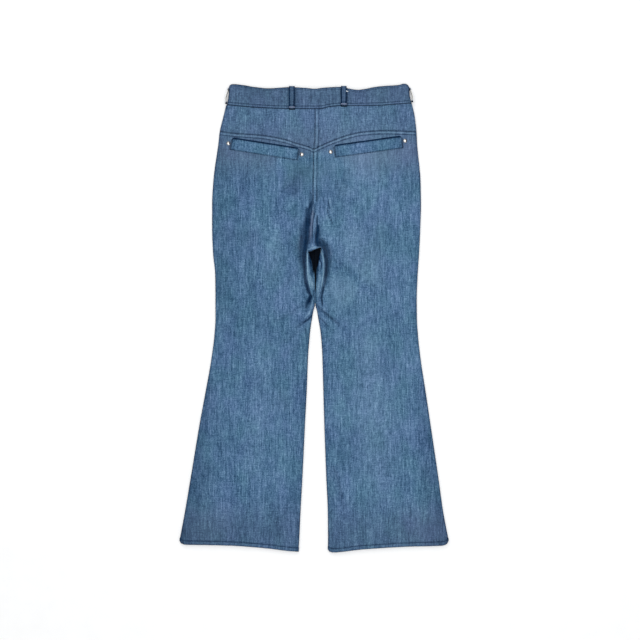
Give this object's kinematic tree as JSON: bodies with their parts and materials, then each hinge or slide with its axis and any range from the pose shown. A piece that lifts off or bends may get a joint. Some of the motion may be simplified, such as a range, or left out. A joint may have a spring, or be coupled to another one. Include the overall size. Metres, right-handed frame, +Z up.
{
  "type": "flared jeans",
  "caption": "Flared denim jeans laid flat, back side up, with a pointed yoke, welt back pockets with rivets, belt loops and narrow hems.",
  "frame": {"origin": "under the middle of the garment's outline, on the surface that it lies on", "axes": "+Y from the hems to the waist, +X to the garment's right as it lies back side up with the waist at the top, +Z up from the surface"},
  "size_m": [0.6076, 1.0556, 0.0134],
  "materials": {
    "denim": "mid-blue washed denim, twill weave with vertical slubs",
    "hardware": "satin nickel"
  },
  "bodies": {
    "root": {"back_left": "denim", "back_right": "denim", "front_left": "denim", "front_right": "denim", "yoke_left": "denim", "yoke_right": "denim", "waistband": "denim", "belt_loop_back_left": "denim", "belt_loop_back_right": "denim", "belt_loop_side_left": "denim", "belt_loop_side_right": "denim", "belt_loop_front_left": "denim", "belt_loop_front_right": "denim", "pocket_welt_left": "denim", "pocket_welt_right": "denim", "rivet_left_outer": "hardware", "rivet_left_inner": "hardware", "rivet_right_inner": "hardware", "rivet_right_outer": "hardware", "waist_button": "hardware"}
  },
  "joints": []
}
